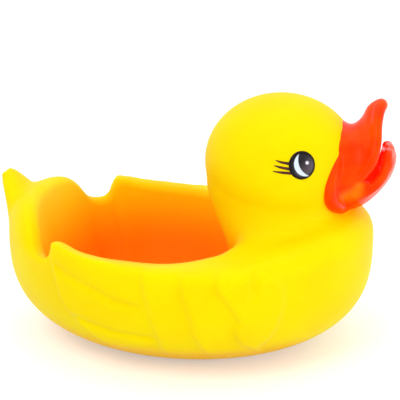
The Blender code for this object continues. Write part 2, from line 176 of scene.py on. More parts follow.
wing = {
    "edges": (  # rear edges of the rows of feathers, then the wing's front edge: z and x in mm
        (
            (50, -43.8),
            (42.4, -43.5),
            (36.4, -42.1),
            (31.3, -40.8),
            (25, -37.4),
            (21, -34),
            (17, -29.5),
            (12, -24),
        ),
        (
            (50, -11.6),
            (43, -11.2),
            (36.7, -10.4),
            (32.6, -8.9),
            (28.3, -8.7),
            (22.3, -7.1),
            (12, -5.4),
        ),
        (
            (50, 1.0),
            (43, 1.4),
            (36.1, 1.9),
            (30.9, 3.4),
            (26.9, 4.7),
            (23.4, 4.6),
            (19.3, 6.1),
            (12, 8.8),
        ),
        (
            (50, 11.3),
            (38.6, 12.5),
            (35.6, 15),
            (32.6, 16.5),
            (28, 19),
            (24, 18),
            (19.8, 18.8),
            (17.4, 20.4),
            (15.8, 22.4),
            (12, 24.4),
        ),
        (
            (50, 22),
            (45.4, 25),
            (43, 29.5),
            (38.2, 32.4),
            (30, 32.5),
            (23.8, 30.6),
            (19.8, 28.6),
            (17.2, 26.8),
            (15.6, 25.0),
            (12, 25.0),
        ),
    ),
    "heights": ((2.0, 0.8), (2.0, 0.8), (2.1, 0.8), (2.5, 1.2)),  # each row's rear and front
    "step": 0.8,  # width of the step at a row's rear edge
    "frontStep": 2.0,
    "foot": 9.0,  # height below which the sides are plain
    "footFade": 7.0,
    "grooves": (  # lines between feathers: x and z
        ((-41.5, 41.4), (-34, 37.7), (-28.4, 35.9), (-20.7, 32.6), (-13, 31.4)),
        ((-36, 24.3), (-30.6, 22.8), (-25.9, 21.7), (-21.7, 20.6), (-16.4, 20.2), (-9, 19.9)),
        ((23.4, 43.4), (23.6, 36.4)),
    ),
    "grooveDepth": 1.3,
    "grooveWidth": 1.0,
    "edgeSteps": 6,
    "flankStart": 0.3,  # no feathers at the duck's ends, by how far the surface faces sideways
    "flankFade": 0.25,
}


def edgeAt(edge, z):
    # How far forward an edge of feathers is at a height
    line = smoothLine(edge[::-1], wing["edgeSteps"] * len(edge))
    return float(np.interp(z, line[:, 0], line[:, 1]))


def distanceToLine(points, x, z):
    nearest = math.inf
    for (ax, az), (bx, bz) in zip(points, points[1:]):
        run, rise = bx - ax, bz - az
        t = ((x - ax) * run + (z - az) * rise) / (run * run + rise * rise)
        t = min(max(t, 0), 1)
        nearest = min(nearest, math.hypot(x - ax - t * run, z - az - t * rise))
    return nearest


def featherHeight(x, z):
    # Each row stands highest at its rear edge and falls towards the next row
    height, before = 0.0, 0.0
    edges = [edgeAt(edge, z) for edge in wing["edges"]]
    for (high, low), rear, front in zip(wing["heights"], edges, edges[1:]):
        along = min(max((x - rear) / (front - rear), 0), 1)
        here = high + (low - high) * along
        height += (here - before) * ease((x - rear) / wing["step"] + 0.5)
        before = here
    height *= 1 - ease((x - edges[-1]) / wing["frontStep"] + 0.5)
    for groove in wing["grooves"]:
        away = distanceToLine(groove, x, z) / wing["grooveWidth"]
        height -= wing["grooveDepth"] * math.exp(-(away**2))
    return height * ease((z - wing["foot"]) / wing["footFade"])


# The body: a round-bottomed boat with a basin in its back

hull = {
    "centreX": -5.6,
    "halfLength": 66.4,
    "halfWidth": 50.5,
    "fullness": 2.7,
    "waist": 40.0,  # height of the widest line, and how deep the hull goes below it
    "depth": 39.4,
    "shoulderFullness": 2.2,
    "breastFullness": 4.0,
    "breastCrown": 56.0,
    "breastSharpness": 3,  # how closely the breast's fullness keeps to the front
    "keelStart": 0.02,  # the lowest ring, as a part of the way from the keel to the waist
    "rings": 90,
    "shoulderRings": 25,
}
basin = {
    "centreX": -20.0,
    "halfLength": 42.0,
    "halfWidth": 45.0,
    "squareness": 2.5,
    "wall": 4.0,
    "lipDrop": 4.0,  # how far the rim rounds down inwards
    "floor": 11.0,
    "floorEnd": 0.97,  # the last ring, as a part of the way from the rim to the middle
    "fullness": 4,
    "sheer": (  # height of the rim at degrees round the basin, from the neck to the tail
        (0, 50.0),
        (30, 47.0),
        (45, 45.3),
        (60, 44.5),
        (75, 44.2),
        (90, 45.0),
        (105, 46.6),
        (119, 48.6),
        (126, 41.6),
        (138, 42.4),
        (150, 50.5),
        (162, 54.5),
        (180, 56.0),
    ),
    "sheerSteps": 10,
    "lipRings": 7,
    "rings": 22,
}


def rimHeight(angle):
    degrees = abs(math.degrees(math.atan2(math.sin(angle), math.cos(angle))))
    line = smoothLine(basin["sheer"], basin["sheerSteps"] * len(basin["sheer"]))
    return float(np.interp(degrees, line[:, 0], line[:, 1]))


def rimPoint(angle, inset=0.0):
    size = (basin["halfLength"] - inset, basin["halfWidth"] - inset)
    return ovalPoint(angle, basin["centreX"], *size, basin["squareness"])


def feathered(angle, x, y, z):
    # A point on the side, moved outwards by the feathers' height there
    out = np.array((math.cos(angle) / hull["halfLength"], math.sin(angle) / hull["halfWidth"]))
    out /= np.linalg.norm(out)
    flank = ease((abs(out[1]) - wing["flankStart"]) / wing["flankFade"])
    moved = np.array((x, y)) + out * featherHeight(x, z) * flank
    return moved[0], moved[1], z


def shoulderPoint(angle, t):
    # From the waist up to the rim, fuller and higher over the breast
    waist = ovalPoint(angle, hull["centreX"], hull["halfLength"], hull["halfWidth"])
    crest = rimPoint(angle)
    front = max(math.cos(angle), 0.0) ** hull["breastSharpness"]
    fuller = hull["breastFullness"] - hull["shoulderFullness"]
    power = 2 / (hull["shoulderFullness"] + fuller * front)
    x, y = crest + (waist - crest) * math.cos(t * math.pi / 2) ** power
    rim = rimHeight(angle)
    crown = rim + (hull["breastCrown"] - rim) * front
    z = hull["waist"] + (crown - hull["waist"]) * math.sin(t * math.pi / 2) ** power
    return x, y, z - (crown - rim) * ease(2 * t - 1)


def makeHull():
    angles = np.linspace(0, 2 * math.pi, moulding["sectors"], endpoint=False)
    power = 2 / hull["fullness"]
    rings = []
    for t in np.linspace(hull["keelStart"], 1, hull["rings"]) * math.pi / 2:
        size = math.sin(t) ** power
        z = hull["waist"] - hull["depth"] * math.cos(t) ** power
        half = (hull["halfLength"] * size, hull["halfWidth"] * size)
        rings.append([feathered(a, *ovalPoint(a, hull["centreX"], *half), z) for a in angles])
    for t in np.linspace(0, 1, hull["shoulderRings"])[1:]:
        rings.append([feathered(a, *shoulderPoint(a, t)) for a in angles])
    for t in np.linspace(0, 1, basin["lipRings"])[1:] * math.pi / 2:
        inset, drop = basin["wall"] * math.sin(t), basin["lipDrop"] * (1 - math.cos(t))
        rings.append([(*rimPoint(a, inset), rimHeight(a) - drop) for a in angles])
    centre = np.array((basin["centreX"], 0))
    lips = [(rimPoint(a, basin["wall"]), rimHeight(a) - basin["lipDrop"]) for a in angles]
    for t in np.linspace(0, basin["floorEnd"], basin["rings"])[1:]:
        down = 1 - (1 - t) ** basin["fullness"]
        rings.append([(*(p + (centre - p) * t), z + (basin["floor"] - z) * down) for p, z in lips])
    return loftRings("hull", [[placed(*point) for point in ring] for ring in rings])


neck = {
    "rings": (  # height, middle, half length, half width
        (32.0, 33.0, 22.0, 33.0),
        (42.0, 33.0, 25.0, 30.0),
        (48.0, 30.0, 25.0, 24.5),
        (53.0, 27.6, 24.4, 21.8),
        (58.0, 25.8, 24.2, 21.6),
        (65.0, 25.4, 24.4, 23.0),
    ),
    "steps": 40,
    "crease": (25.0, 51.0),  # x and z of a point in the crease between neck and body
    "creaseRise": 0.12,
    "creaseReach": 13.0,
    "axisX": 30.0,
    "reach": 36.0,
    "fade": 8.0,
    "leastWeight": 0.01,  # of smoothing; points with less are left out
}
head = {
    "centre": (27.4, 0.0, 69.2),
    "radii": (26.8, 25.0, 23.7),
}
tail = {
    "rings": (  # x, z, half thickness, half width
        (-63.0, 32.0, 5.0, 19.0),
        (-65.5, 41.0, 5.0, 18.0),
        (-68.0, 48.0, 4.6, 15.0),
        (-70.5, 53.5, 4.0, 10.5),
        (-73.0, 58.0, 3.0, 6.0),
        (-74.6, 60.6, 1.8, 2.6),
    ),
    "through": (0.8, 0.0, 0.6),
    "steps": 30,
    "sectors": 64,
    "root": (-57.0, 48.0),
    "rootReach": 12.0,
    "rootFade": 6.0,
    "softness": 0.7,  # of the fillet at its root, beside the neck's
}


def makeNeck():
    angles = np.linspace(0, 2 * math.pi, moulding["sectors"], endpoint=False)
    rings = []
    for z, x, length, width in smoothLine(neck["rings"], neck["steps"]):
        rings.append([placed(*ovalPoint(a, x, length, width), z) for a in angles])
    return loftRings("neck", rings)


def makeTail():
    angles = np.linspace(0, 2 * math.pi, tail["sectors"], endpoint=False)
    through, across = Vector(tail["through"]) * mm, Vector((0.0, mm, 0.0))
    rings = []
    for x, z, thick, width in smoothLine(tail["rings"], tail["steps"]):
        middle = placed(x, 0.0, z)
        rings.append([
            middle + through * thick * math.cos(a) + across * width * math.sin(a) for a in angles
        ])
    return loftRings("tail", rings)


def filletWeights(piece):
    # Softest in the crease of the neck and round the root of the tail
    creaseX, creaseZ = neck["crease"]
    rootX, rootZ = tail["root"]
    weights = []
    for v in piece.data.vertices:
        x, y, z = v.co / mm - Vector(moulding["shift"])
        level = creaseZ + neck["creaseRise"] * (x - creaseX)
        atNeck = 1 - ease(abs(z - level) / neck["creaseReach"])
        atNeck *= 1 - ease((math.hypot(x - neck["axisX"], y) - neck["reach"]) / neck["fade"])
        atTail = 1 - ease(abs(z - rootZ) / tail["rootReach"])
        atTail *= ease((rootX - x) / tail["rootFade"])
        weight = max(atNeck, tail["softness"] * atTail)
        if weight > neck["leastWeight"]:
            weights.append((v.index, weight))
    return weights


underside = {
    "holeX": -22.0,
    "holeRadius": 2.0,
    "holeDepth": 3.0,
    "holeSides": 64,
    "blockSize": 400.0,  # of the block that cuts the flat
}


def cutWith(piece, cutter):
    withModifier(piece, "BOOLEAN", operation="DIFFERENCE", solver="EXACT", object=cutter)
    bpy.data.objects.remove(cutter)


def cutUnderside(piece):
    # The flat that the duck stands on, and the air hole in it
    bm = bmesh.new()
    size = underside["blockSize"] * mm
    bmesh.ops.create_cube(bm, size=size)
    bmesh.ops.translate(bm, vec=(0, 0, -size / 2), verts=bm.verts)
    cutWith(piece, newPiece("ground", bm))
    bm = bmesh.new()
    radius, depth = underside["holeRadius"] * mm, 2 * underside["holeDepth"] * mm
    place = Matrix.Translation(((underside["holeX"] + moulding["shift"][0]) * mm, 0, 0))
    sizes = {"radius1": radius, "radius2": radius, "depth": depth}
    bmesh.ops.create_cone(bm, cap_ends=True, segments=underside["holeSides"], matrix=place, **sizes)
    cutWith(piece, newPiece("air_hole", bm))


def makeBody():
    skull = eggShape("head", head["centre"], head["radii"])
    body = joined("vinyl_body", [makeHull(), makeNeck(), makeTail(), skull])
    withModifier(body, "REMESH", mode="VOXEL", voxel_size=moulding["bodyVoxel"] * mm)
    soften(body, moulding["filletPasses"], filletWeights(body))
    soften(body, moulding["skinPasses"])
    cutUnderside(body)
    return body


body = makeBody()
print("body:", len(body.data.polygons), "faces")

# The bill: two thin flaring lips, open, with a bead round its root

bill = {
    "upper": (  # each row is half an arch, from the middle out to the corner
        (
            (45.0, 0, 86.2),
            (45.0, 5.0, 85.5),
            (45.1, 10.4, 82.9),
            (45.0, 15.4, 77.0),
            (42.4, 16.0, 68.5),
            (42.0, 15.6, 62.0),
            (43.5, 12.0, 57.0),
        ),
        (
            (48.5, 0, 83.9),
            (48.3, 5.2, 83.1),
            (48.1, 10.0, 80.9),
            (47.9, 14.2, 76.6),
            (46.8, 17.0, 69.2),
            (46.4, 17.0, 62.4),
            (47.4, 13.4, 58.0),
        ),
        (
            (51.4, 0, 82.9),
            (51.3, 5.0, 82.0),
            (51.0, 9.6, 79.6),
            (50.6, 13.0, 76.0),
            (49.6, 15.8, 69.6),
            (48.9, 16.2, 63.8),
            (49.4, 13.6, 59.4),
        ),
        (
            (54.4, 0, 85.4),
            (54.8, 4.6, 84.0),
            (55.2, 9.0, 80.4),
            (54.8, 12.6, 76.6),
            (53.2, 15.3, 70.9),
            (51.6, 15.9, 65.3),
            (51.2, 13.8, 60.7),
        ),
        (
            (56.4, 0, 89.5),
            (56.8, 4.3, 87.6),
            (57.6, 8.7, 83.4),
            (57.6, 12.6, 78.8),
            (56.8, 15.4, 72.8),
            (54.6, 15.9, 67.1),
            (53.0, 13.9, 62.2),
        ),
        (
            (59.1, 0, 91.8),
            (59.6, 3.9, 90.2),
            (60.3, 8.2, 86.0),
            (60.4, 12.6, 80.4),
            (59.5, 16.0, 74.8),
            (56.3, 16.4, 68.9),
            (54.3, 13.9, 64.0),
        ),
    ),
    "lower": (
        (
            (44.0, 0, 54.0),
            (44.0, 6.0, 54.6),
            (44.0, 10.0, 56.4),
            (44.0, 11.8, 59.0),
        ),
        (
            (50.0, 0, 53.2),
            (49.6, 6.4, 54.0),
            (48.8, 10.8, 56.2),
            (48.4, 12.8, 58.8),
        ),
        (
            (56.0, 0, 54.9),
            (55.6, 6.8, 55.7),
            (54.4, 11.8, 57.7),
            (53.8, 13.6, 59.8),
        ),
        (
            (61.5, 0, 59.8),
            (61.1, 7.0, 60.6),
            (59.9, 12.4, 62.4),
            (59.0, 13.8, 63.2),
        ),
        (
            (65.6, 0, 66.0),
            (65.2, 7.0, 66.8),
            (63.8, 11.8, 67.8),
            (62.8, 13.0, 67.4),
        ),
        (
            (67.1, 0, 72.0),
            (66.7, 5.4, 71.8),
            (65.8, 9.6, 71.6),
            (64.6, 11.8, 71.4),
        ),
        (
            (65.8, 0, 75.5),
            (65.5, 3.8, 75.2),
            (64.9, 7.0, 75.2),
            (64.2, 9.2, 74.4),
        ),
    ),
    "thickness": 3.0,
    "mouth": (72.0, 0.0, 72.0),  # a point that both lips thicken towards
    "throatCentre": (43.0, 0.0, 69.0),
    "throatRadii": (13.0, 16.5, 16.5),
    "bead": (  # from the brow down to the chin: x, y, z, radius
        (47.0, 0, 81.0, 1.0),
        (46.9, 6.0, 80.0, 1.0),
        (46.9, 10.8, 77.4, 1.0),
        (47.1, 14.0, 74.8, 1.2),
        (46.9, 16.4, 71.6, 1.7),
        (46.2, 17.9, 68.2, 2.0),
        (45.6, 18.0, 64.8, 2.2),
        (45.8, 16.4, 61.0, 2.5),
        (47.2, 13.4, 58.0, 2.7),
        (49.4, 8.0, 55.4, 2.2),
        (50.4, 0, 54.6, 2.0),
    ),
    "upperRoll": (  # rolled rims of the lips, from the middle out
        (60.9, 0, 90.0, 2.3),
        (60.2, 3.9, 88.5, 2.1),
        (59.8, 8.0, 84.8, 1.9),
        (59.9, 12.0, 79.6, 1.8),
        (58.7, 14.9, 74.2, 1.8),
        (55.6, 15.0, 68.8, 1.7),
        (53.4, 13.0, 64.6, 1.5),
    ),
    "lowerRoll": (
        (64.6, 0, 74.7, 1.8),
        (64.3, 3.8, 74.4, 1.8),
        (63.8, 7.4, 74.2, 1.8),
        (63.5, 10.2, 71.3, 1.8),
        (62.1, 11.8, 67.5, 1.8),
        (58.6, 12.8, 63.7, 1.8),
        (53.6, 12.8, 60.4, 1.7),
    ),
    "corner": (  # fills the corner of the mouth: x, y, z, radius
        (51.0, 12.0, 61.4, 2.2),
        (53.0, 12.4, 62.2, 2.4),
        (55.0, 12.6, 63.4, 2.1),
        (57.0, 12.8, 65.0, 1.6),
    ),
    "along": 60,
    "upperAcross": 97,
    "lowerAcross": 65,
    "tubeSteps": 14,
    "tubeSectors": 24,
}


def makeLip(name, arches, across):
    # A sheet through half arches and their mirror images, thickened towards the mouth
    along = bill["along"]
    whole = []
    for arch in arches:
        right = tuple((x, -y, z) for x, y, z in arch[:0:-1])
        whole.append(smoothLine(right + arch, across))
    bm = bmesh.new()
    grid = []
    for i in range(across):
        column = tuple(tuple(arch[i]) for arch in whole)
        grid.append([bm.verts.new(placed(*point)) for point in smoothLine(column, along)])
    for first, second in zip(grid, grid[1:]):
        for i in range(along - 1):
            bm.faces.new((first[i], first[i + 1], second[i + 1], second[i]))
    lip = newPiece(name, bm)
    mouth = placed(*bill["mouth"])
    if sum(face.normal.dot(face.center - mouth) for face in lip.data.polygons) < 0:
        lip.data.flip_normals()
    thickness = bill["thickness"] * mm
    withModifier(lip, "SOLIDIFY", thickness=thickness, offset=-1.0, use_even_offset=False)
    return lip


def makeTube(name, half, closed):
    # A tube along a half line and its mirror image, closed on itself or open at the far ends
    other = tuple((x, -y, z, r) for x, y, z, r in half[:0:-1])
    steps = bill["tubeSteps"]
    if closed:
        circuit = half + other[1:]
        wrapped = circuit[-2:] + circuit + circuit[:3]
        line = smoothLine(wrapped, (len(wrapped) - 1) * steps + 1)
        line = line[2 * steps : (len(circuit) + 2) * steps]
    else:
        line = smoothLine(other + half, (2 * len(half) - 2) * steps + 1)
    last = len(line) - 1
    angles = np.linspace(0, 2 * math.pi, bill["tubeSectors"], endpoint=False)
    rings = []
    for i, (x, y, z, radius) in enumerate(line):
        before, after = max(i - 1, 0), min(i + 1, last)
        if closed:
            before, after = i - 1, (i + 1) % len(line)
        along = Vector(line[after][:3]) - Vector(line[before][:3])
        side = along.cross(Vector((1, 0, 0))).normalized() * radius * mm
        rise = side.cross(along).normalized() * radius * mm
        centre = placed(x, y, z)
        rings.append([centre + side * math.cos(a) + rise * math.sin(a) for a in angles])
    return loftRings(name, rings, closed)


def makeBill():
    upper = makeLip("upper_lip", bill["upper"], bill["upperAcross"])
    lower = makeLip("lower_lip", bill["lower"], bill["lowerAcross"])
    throat = eggShape("throat", bill["throatCentre"], bill["throatRadii"])
    bead = makeTube("bead", bill["bead"], closed=True)
    upperRoll = makeTube("upper_roll", bill["upperRoll"], closed=False)
    lowerRoll = makeTube("lower_roll", bill["lowerRoll"], closed=False)
    corners = []
    for side in (-1, 1):
        for x, y, z, radius in bill["corner"]:
            corners.append(eggShape("corner", (x, side * y, z), [radius] * 3))
    parts = [upper, lower, throat, bead, upperRoll, lowerRoll, *corners]
    piece = joined("painted_bill", parts)
    withModifier(piece, "REMESH", mode="VOXEL", voxel_size=moulding["billVoxel"] * mm)
    soften(piece, moulding["billPasses"])
    return piece


paintedBill = makeBill()
print("bill:", len(paintedBill.data.polygons), "faces")

# The eyes, printed on the head, and three lashes behind each

eye = {
    "centre": (36.3, 23.1, 73.9),
    "offset": (0.1, -0.15),  # of the print, forwards and up
    "halfWidth": 4.5,
    "halfHeight": 4.8,
    "rise": 0.32,
    "edgeWidth": 0.5,
    "sunk": 1.2,
    "innermost": 0.02,  # sizes of the first ring and of the last, which closes the back
    "back": 0.5,
    "rings": 14,
    "sectors": 96,
}
lashes = {
    "strokes": (  # each from its root to its tip: forwards and up from the eye's centre
        ((-4.0, 0.2), (-6.9, 0.62), (-8.95, 1.22)),
        ((-4.0, -1.55), (-7.05, -1.15), (-9.4, -0.64)),
        ((-3.4, -2.95), (-7.0, -2.86), (-9.8, -2.64)),
    ),
    "halfWidth": (0.5, 0.42, 0.14),  # at the root, the middle and the tip
    "rise": 0.14,
    "sunk": 0.4,
    "steps": 24,
    "sectors": 10,
}


def eyeAxes(side):
    # The eye's centre on the head, and its outward, forward and upward directions
    centre, middle = Vector(eye["centre"]), Vector(head["centre"])
    centre.y *= side
    out = Vector([(c - m) / r**2 for c, m, r in zip(centre, middle, head["radii"])]).normalized()
    forward = (Vector((1, 0, 0)) - out * out.x).normalized()
    up = forward.cross(out) * side
    return centre, out, forward, up


def onHead(side, a, b, rise):
    # A place on the head's skin, a forwards and b up from the eye's centre, raised a little
    centre, out, forward, up = eyeAxes(side)
    middle, radii = Vector(head["centre"]), head["radii"]
    reach = centre + forward * a + up * b - middle
    reach /= math.sqrt(sum((d / r) ** 2 for d, r in zip(reach, radii)))
    normal = Vector([d / r**2 for d, r in zip(reach, radii)]).normalized()
    return placed(*(middle + reach + normal * rise))


def eyeRing(side, size, rise):
    ring = []
    for angle in np.linspace(0, 2 * math.pi, eye["sectors"], endpoint=False):
        a = eye["offset"][0] + eye["halfWidth"] * size * math.cos(angle)
        b = eye["offset"][1] + eye["halfHeight"] * size * math.sin(angle)
        ring.append(onHead(side, a, b, rise))
    return ring


def makeEye(name, side):
    # A thin domed print with a rounded edge, its back sunk in the head
    rings = []
    for size in np.linspace(eye["innermost"], 1, eye["rings"]):
        edge = min(eye["halfWidth"] * (1 - size) / eye["edgeWidth"], 1)
        rings.append(eyeRing(side, size, eye["rise"] * math.sqrt(edge * (2 - edge))))
    rings.append(eyeRing(side, 1, -eye["sunk"]))
    rings.append(eyeRing(side, eye["back"], -eye["sunk"]))
    return loftRings(name, rings)


def makeLashes(name, side):
    strokes = []
    for stroke in lashes["strokes"]:
        line = smoothLine(stroke, lashes["steps"])
        widths = np.interp(np.linspace(0, 1, lashes["steps"]), (0, 0.5, 1), lashes["halfWidth"])
        rings = []
        for i, (a, b) in enumerate(line):
            before, after = line[max(i - 1, 0)], line[min(i + 1, len(line) - 1)]
            along = Vector(after - before).normalized()
            ring = []
            for angle in np.linspace(0, 2 * math.pi, lashes["sectors"], endpoint=False):
                sideways = widths[i] * math.cos(angle)
                level = math.sin(angle)
                rise = lashes["rise"] * level if level > 0 else lashes["sunk"] * level
                ring.append(onHead(side, a - along.y * sideways, b + along.x * sideways, rise))
            rings.append(ring)
        strokes.append(loftRings("stroke", rings))
    return joined(name, strokes)


eyePieces = [makeEye("eye_near", -1), makeEye("eye_far", 1)]
lashPieces = [makeLashes("lashes_near", -1), makeLashes("lashes_far", 1)]
print("eyes and lashes made")


# Materials

def newMaterial(name):
    material = bpy.data.materials.new(name)
    material.use_nodes = True
    tree = material.node_tree
    return material, tree, tree.nodes["Principled BSDF"]


def addNode(tree, kind, **settings):
    node = tree.nodes.new(kind)
    for key, value in settings.items():
        setattr(node, key, value)
    return node


def feed(tree, socket, value):
    # A socket takes a plain value or another node's output
    if isinstance(value, (int, float, tuple, Vector)):
        socket.default_value = value
    else:
        tree.links.new(value, socket)


def mathNode(tree, operation, *values):
    node = addNode(tree, "ShaderNodeMath", operation=operation)
    for socket, value in zip(node.inputs, values):
        feed(tree, socket, value)
    return node.outputs[0]


def vectorNode(tree, operation, first, second):
    node = addNode(tree, "ShaderNodeVectorMath", operation=operation)
    feed(tree, node.inputs[0], first)
    feed(tree, node.inputs[1], second)
    isNumber = operation in ("DOT_PRODUCT", "LENGTH", "DISTANCE")
    return node.outputs["Value" if isNumber else "Vector"]


def mixColour(tree, factor, first, second):
    node = addNode(tree, "ShaderNodeMix", data_type="RGBA")
    for socket, value in ((0, factor), (6, first), (7, second)):  # the colour sockets are 6 and 7
        feed(tree, node.inputs[socket], value)
    return node.outputs[2]


def rangeNode(tree, value, low, high, to=(0.0, 1.0)):
    # A soft step: from to[0] at low to to[1] at high
    node = addNode(tree, "ShaderNodeMapRange", interpolation_type="SMOOTHSTEP")
    sockets = ("Value", "From Min", "From Max", "To Min", "To Max")
    for socket, number in zip(sockets, (value, low, high, *to)):
        feed(tree, node.inputs[socket], number)
    return node.outputs[0]


def fromScreen(red, green, blue):
    # A colour as a screen shows it, 0 to 255, as the shader's own numbers
    def channel(c):
        c /= 255
        return c / 12.92 if c <= 0.04045 else ((c + 0.055) / 1.055) ** 2.4

    return (channel(red), channel(green), channel(blue), 1.0)


def objectPlace(tree):
    # Where a point is on the object, in metres, and its x, y and z
    place = addNode(tree, "ShaderNodeTexCoord").outputs["Object"]
    split = addNode(tree, "ShaderNodeSeparateXYZ")
    tree.links.new(place, split.inputs[0])
    return place, split.outputs


def mirroredPlace(tree):
    # The same place for a point of either side
    x, y, z = objectPlace(tree)[1]
    join = addNode(tree, "ShaderNodeCombineXYZ")
    for socket, value in zip(join.inputs, (x, mathNode(tree, "ABSOLUTE", y), z)):
        tree.links.new(value, socket)
    return join.outputs[0]


skinValues = {
    "sockets": {"Grain Scale": 2200.0, "Wave Scale": 60.0, "Wave Share": 3.0, "Seed": 0.0},
    "detail": {"Grain Scale": 3.0, "Wave Scale": 2.0},
    "patches": (0.35, 0.65),  # of the noise, between which Mottle and Speck go from 0 to 1
}


def makeMouldedSkin():
    # Shared by vinyl and paint: the faint grain and waviness of a soft moulding
    group = bpy.data.node_groups.new("mouldedSkin", "ShaderNodeTree")
    face = group.interface
    for name, value in skinValues["sockets"].items():
        socket = face.new_socket(name, in_out="INPUT", socket_type="NodeSocketFloat")
        socket.default_value = value
    for name in ("Height", "Mottle", "Speck"):
        face.new_socket(name, in_out="OUTPUT", socket_type="NodeSocketFloat")
    inside = addNode(group, "NodeGroupInput")
    outside = addNode(group, "NodeGroupOutput")
    place = addNode(group, "ShaderNodeTexCoord").outputs["Object"]
    noises = []
    for scale, detail in skinValues["detail"].items():
        noise = addNode(group, "ShaderNodeTexNoise", noise_dimensions="4D")
        group.links.new(place, noise.inputs["Vector"])
        group.links.new(inside.outputs[scale], noise.inputs["Scale"])
        group.links.new(inside.outputs["Seed"], noise.inputs["W"])
        noise.inputs["Detail"].default_value = detail
        noises.append(noise.outputs[0])
    grain, wave = noises
    waves = mathNode(group, "MULTIPLY", wave, inside.outputs["Wave Share"])
    group.links.new(mathNode(group, "ADD", grain, waves), outside.inputs["Height"])
    for noise, name in ((wave, "Mottle"), (grain, "Speck")):
        group.links.new(rangeNode(group, noise, *skinValues["patches"]), outside.inputs[name])
    return group


mouldedSkin = makeMouldedSkin()


def placeSkin(tree, values):
    # The skin's outputs, and a colour mottled by it
    node = addNode(tree, "ShaderNodeGroup", node_tree=mouldedSkin)
    for name, value in values["skin"].items():
        node.inputs[name].default_value = value
    first, second = values["colours"]
    return node.outputs, mixColour(tree, node.outputs["Mottle"], first, second)


def roughen(tree, shader, speck, values):
    spread = mathNode(tree, "MULTIPLY", speck, values["roughnessSpread"])
    roughness = mathNode(tree, "ADD", spread, values["roughness"])
    tree.links.new(roughness, shader.inputs["Roughness"])


def bumpFrom(tree, shader, height, values):
    bump = addNode(tree, "ShaderNodeBump")
    bump.inputs["Strength"].default_value = values["bump"]
    bump.inputs["Distance"].default_value = values["bumpHeight"] * mm
    tree.links.new(height, bump.inputs["Height"])
    tree.links.new(bump.outputs[0], shader.inputs["Normal"])


vinyl = {
    "skin": {"Grain Scale": 2200.0, "Wave Scale": 60.0, "Seed": 1.0},
    "colours": (fromScreen(255, 228, 0), fromScreen(255, 223, 0)),
    "crease": fromScreen(255, 196, 0),  # painted shade, a deeper amber in the creases where the moulding folds in
    "creaseReach": 16.0,
    "creaseShadeOpenness": (0.3, 0.95),  # full and no painted shade, by how much light comes in
    "creaseEnd": (38.0, 50.0),  # x in the frame where the painted shade fades, so that the breast stays bright
    "well": fromScreen(254, 120, 0),  # painted shade down in the basin, orange as light bounced between the walls would turn it
    "wellHeights": (18.0, 55.0),  # heights in the frame where its colour is full and where it ends
    "wellEdges": (0.95, 1.12),  # the same, in parts of the basin's half sizes
    "wellMiddle": 0.5,  # how far up the point is that the well's walls face, in the same parts
    "wellFacing": (0.0, 0.4),
    "roughness": 0.46,
    "roughnessSpread": 0.06,
    "gloss": 0.12,
    "glossTint": (1.0, 0.9, 0.2, 1.0),
    "scatter": 0.3,
    "scatterRadius": (1.0, 0.5, 0.05),
    "scatterReach": 4.0,
    "bump": 0.1,
    "bumpHeight": 0.2,
}


def shelteredBy(tree, reach, openness):
    # 1 where nearby surfaces shut out the light, 0 in the open
    occlusion = addNode(tree, "ShaderNodeAmbientOcclusion", samples=8)
    occlusion.inputs["Distance"].default_value = reach * mm
    return rangeNode(tree, occlusion.outputs["AO"], *openness, (1.0, 0.0))


def depthInBasin(tree):
    # Where the basin's painted shade goes: 1 on the basin's floor and low walls, 0 at its rim and
    # on the outside of the body
    place, (_, _, height) = objectPlace(tree)
    middle = placed(basin["centreX"], 0, 0) * Vector((1, 1, 0))
    halves = Vector((1 / basin["halfLength"], 1 / basin["halfWidth"], 0)) / mm
    outwards = vectorNode(tree, "MULTIPLY", vectorNode(tree, "SUBTRACT", place, middle), halves)
    spread = vectorNode(tree, "LENGTH", outwards, (0, 0, 0))
    within = rangeNode(tree, spread, *vinyl["wellEdges"], (1.0, 0.0))
    inwards = vectorNode(tree, "SUBTRACT", (0, 0, vinyl["wellMiddle"]), outwards)
    normal = addNode(tree, "ShaderNodeNewGeometry").outputs["Normal"]
    facing = vectorNode(tree, "DOT_PRODUCT", inwards, normal)
    within = mathNode(tree, "MULTIPLY", within, rangeNode(tree, facing, *vinyl["wellFacing"]))
    depth = rangeNode(tree, height, *[z * mm for z in vinyl["wellHeights"]], (1.0, 0.0))
    return mathNode(tree, "MULTIPLY", within, depth)


def vinylMaterial():
    material, tree, shader = newMaterial("softYellowVinyl")
    skin, colour = placeSkin(tree, vinyl)
    forwards = objectPlace(tree)[1][0]
    # Painted shade: a deeper amber in the creases, where nearby surfaces shut out the light
    creaseShade = shelteredBy(tree, vinyl["creaseReach"], vinyl["creaseShadeOpenness"])
    behindBill = rangeNode(tree, forwards, *[x * mm for x in vinyl["creaseEnd"]], (1.0, 0.0))
    creaseShade = mathNode(tree, "MULTIPLY", creaseShade, behindBill)
    colour = mixColour(tree, creaseShade, colour, vinyl["crease"])
    # Painted shade: orange deep in the basin
    colour = mixColour(tree, depthInBasin(tree), colour, vinyl["well"])
    tree.links.new(colour, shader.inputs["Base Color"])
    roughen(tree, shader, skin["Speck"], vinyl)
    shader.inputs["Specular IOR Level"].default_value = vinyl["gloss"]
    shader.inputs["Specular Tint"].default_value = vinyl["glossTint"]
    shader.inputs["Subsurface Weight"].default_value = vinyl["scatter"]
    shader.inputs["Subsurface Radius"].default_value = vinyl["scatterRadius"]
    shader.inputs["Subsurface Scale"].default_value = vinyl["scatterReach"] * mm
    bumpFrom(tree, shader, skin["Height"], vinyl)
    return material


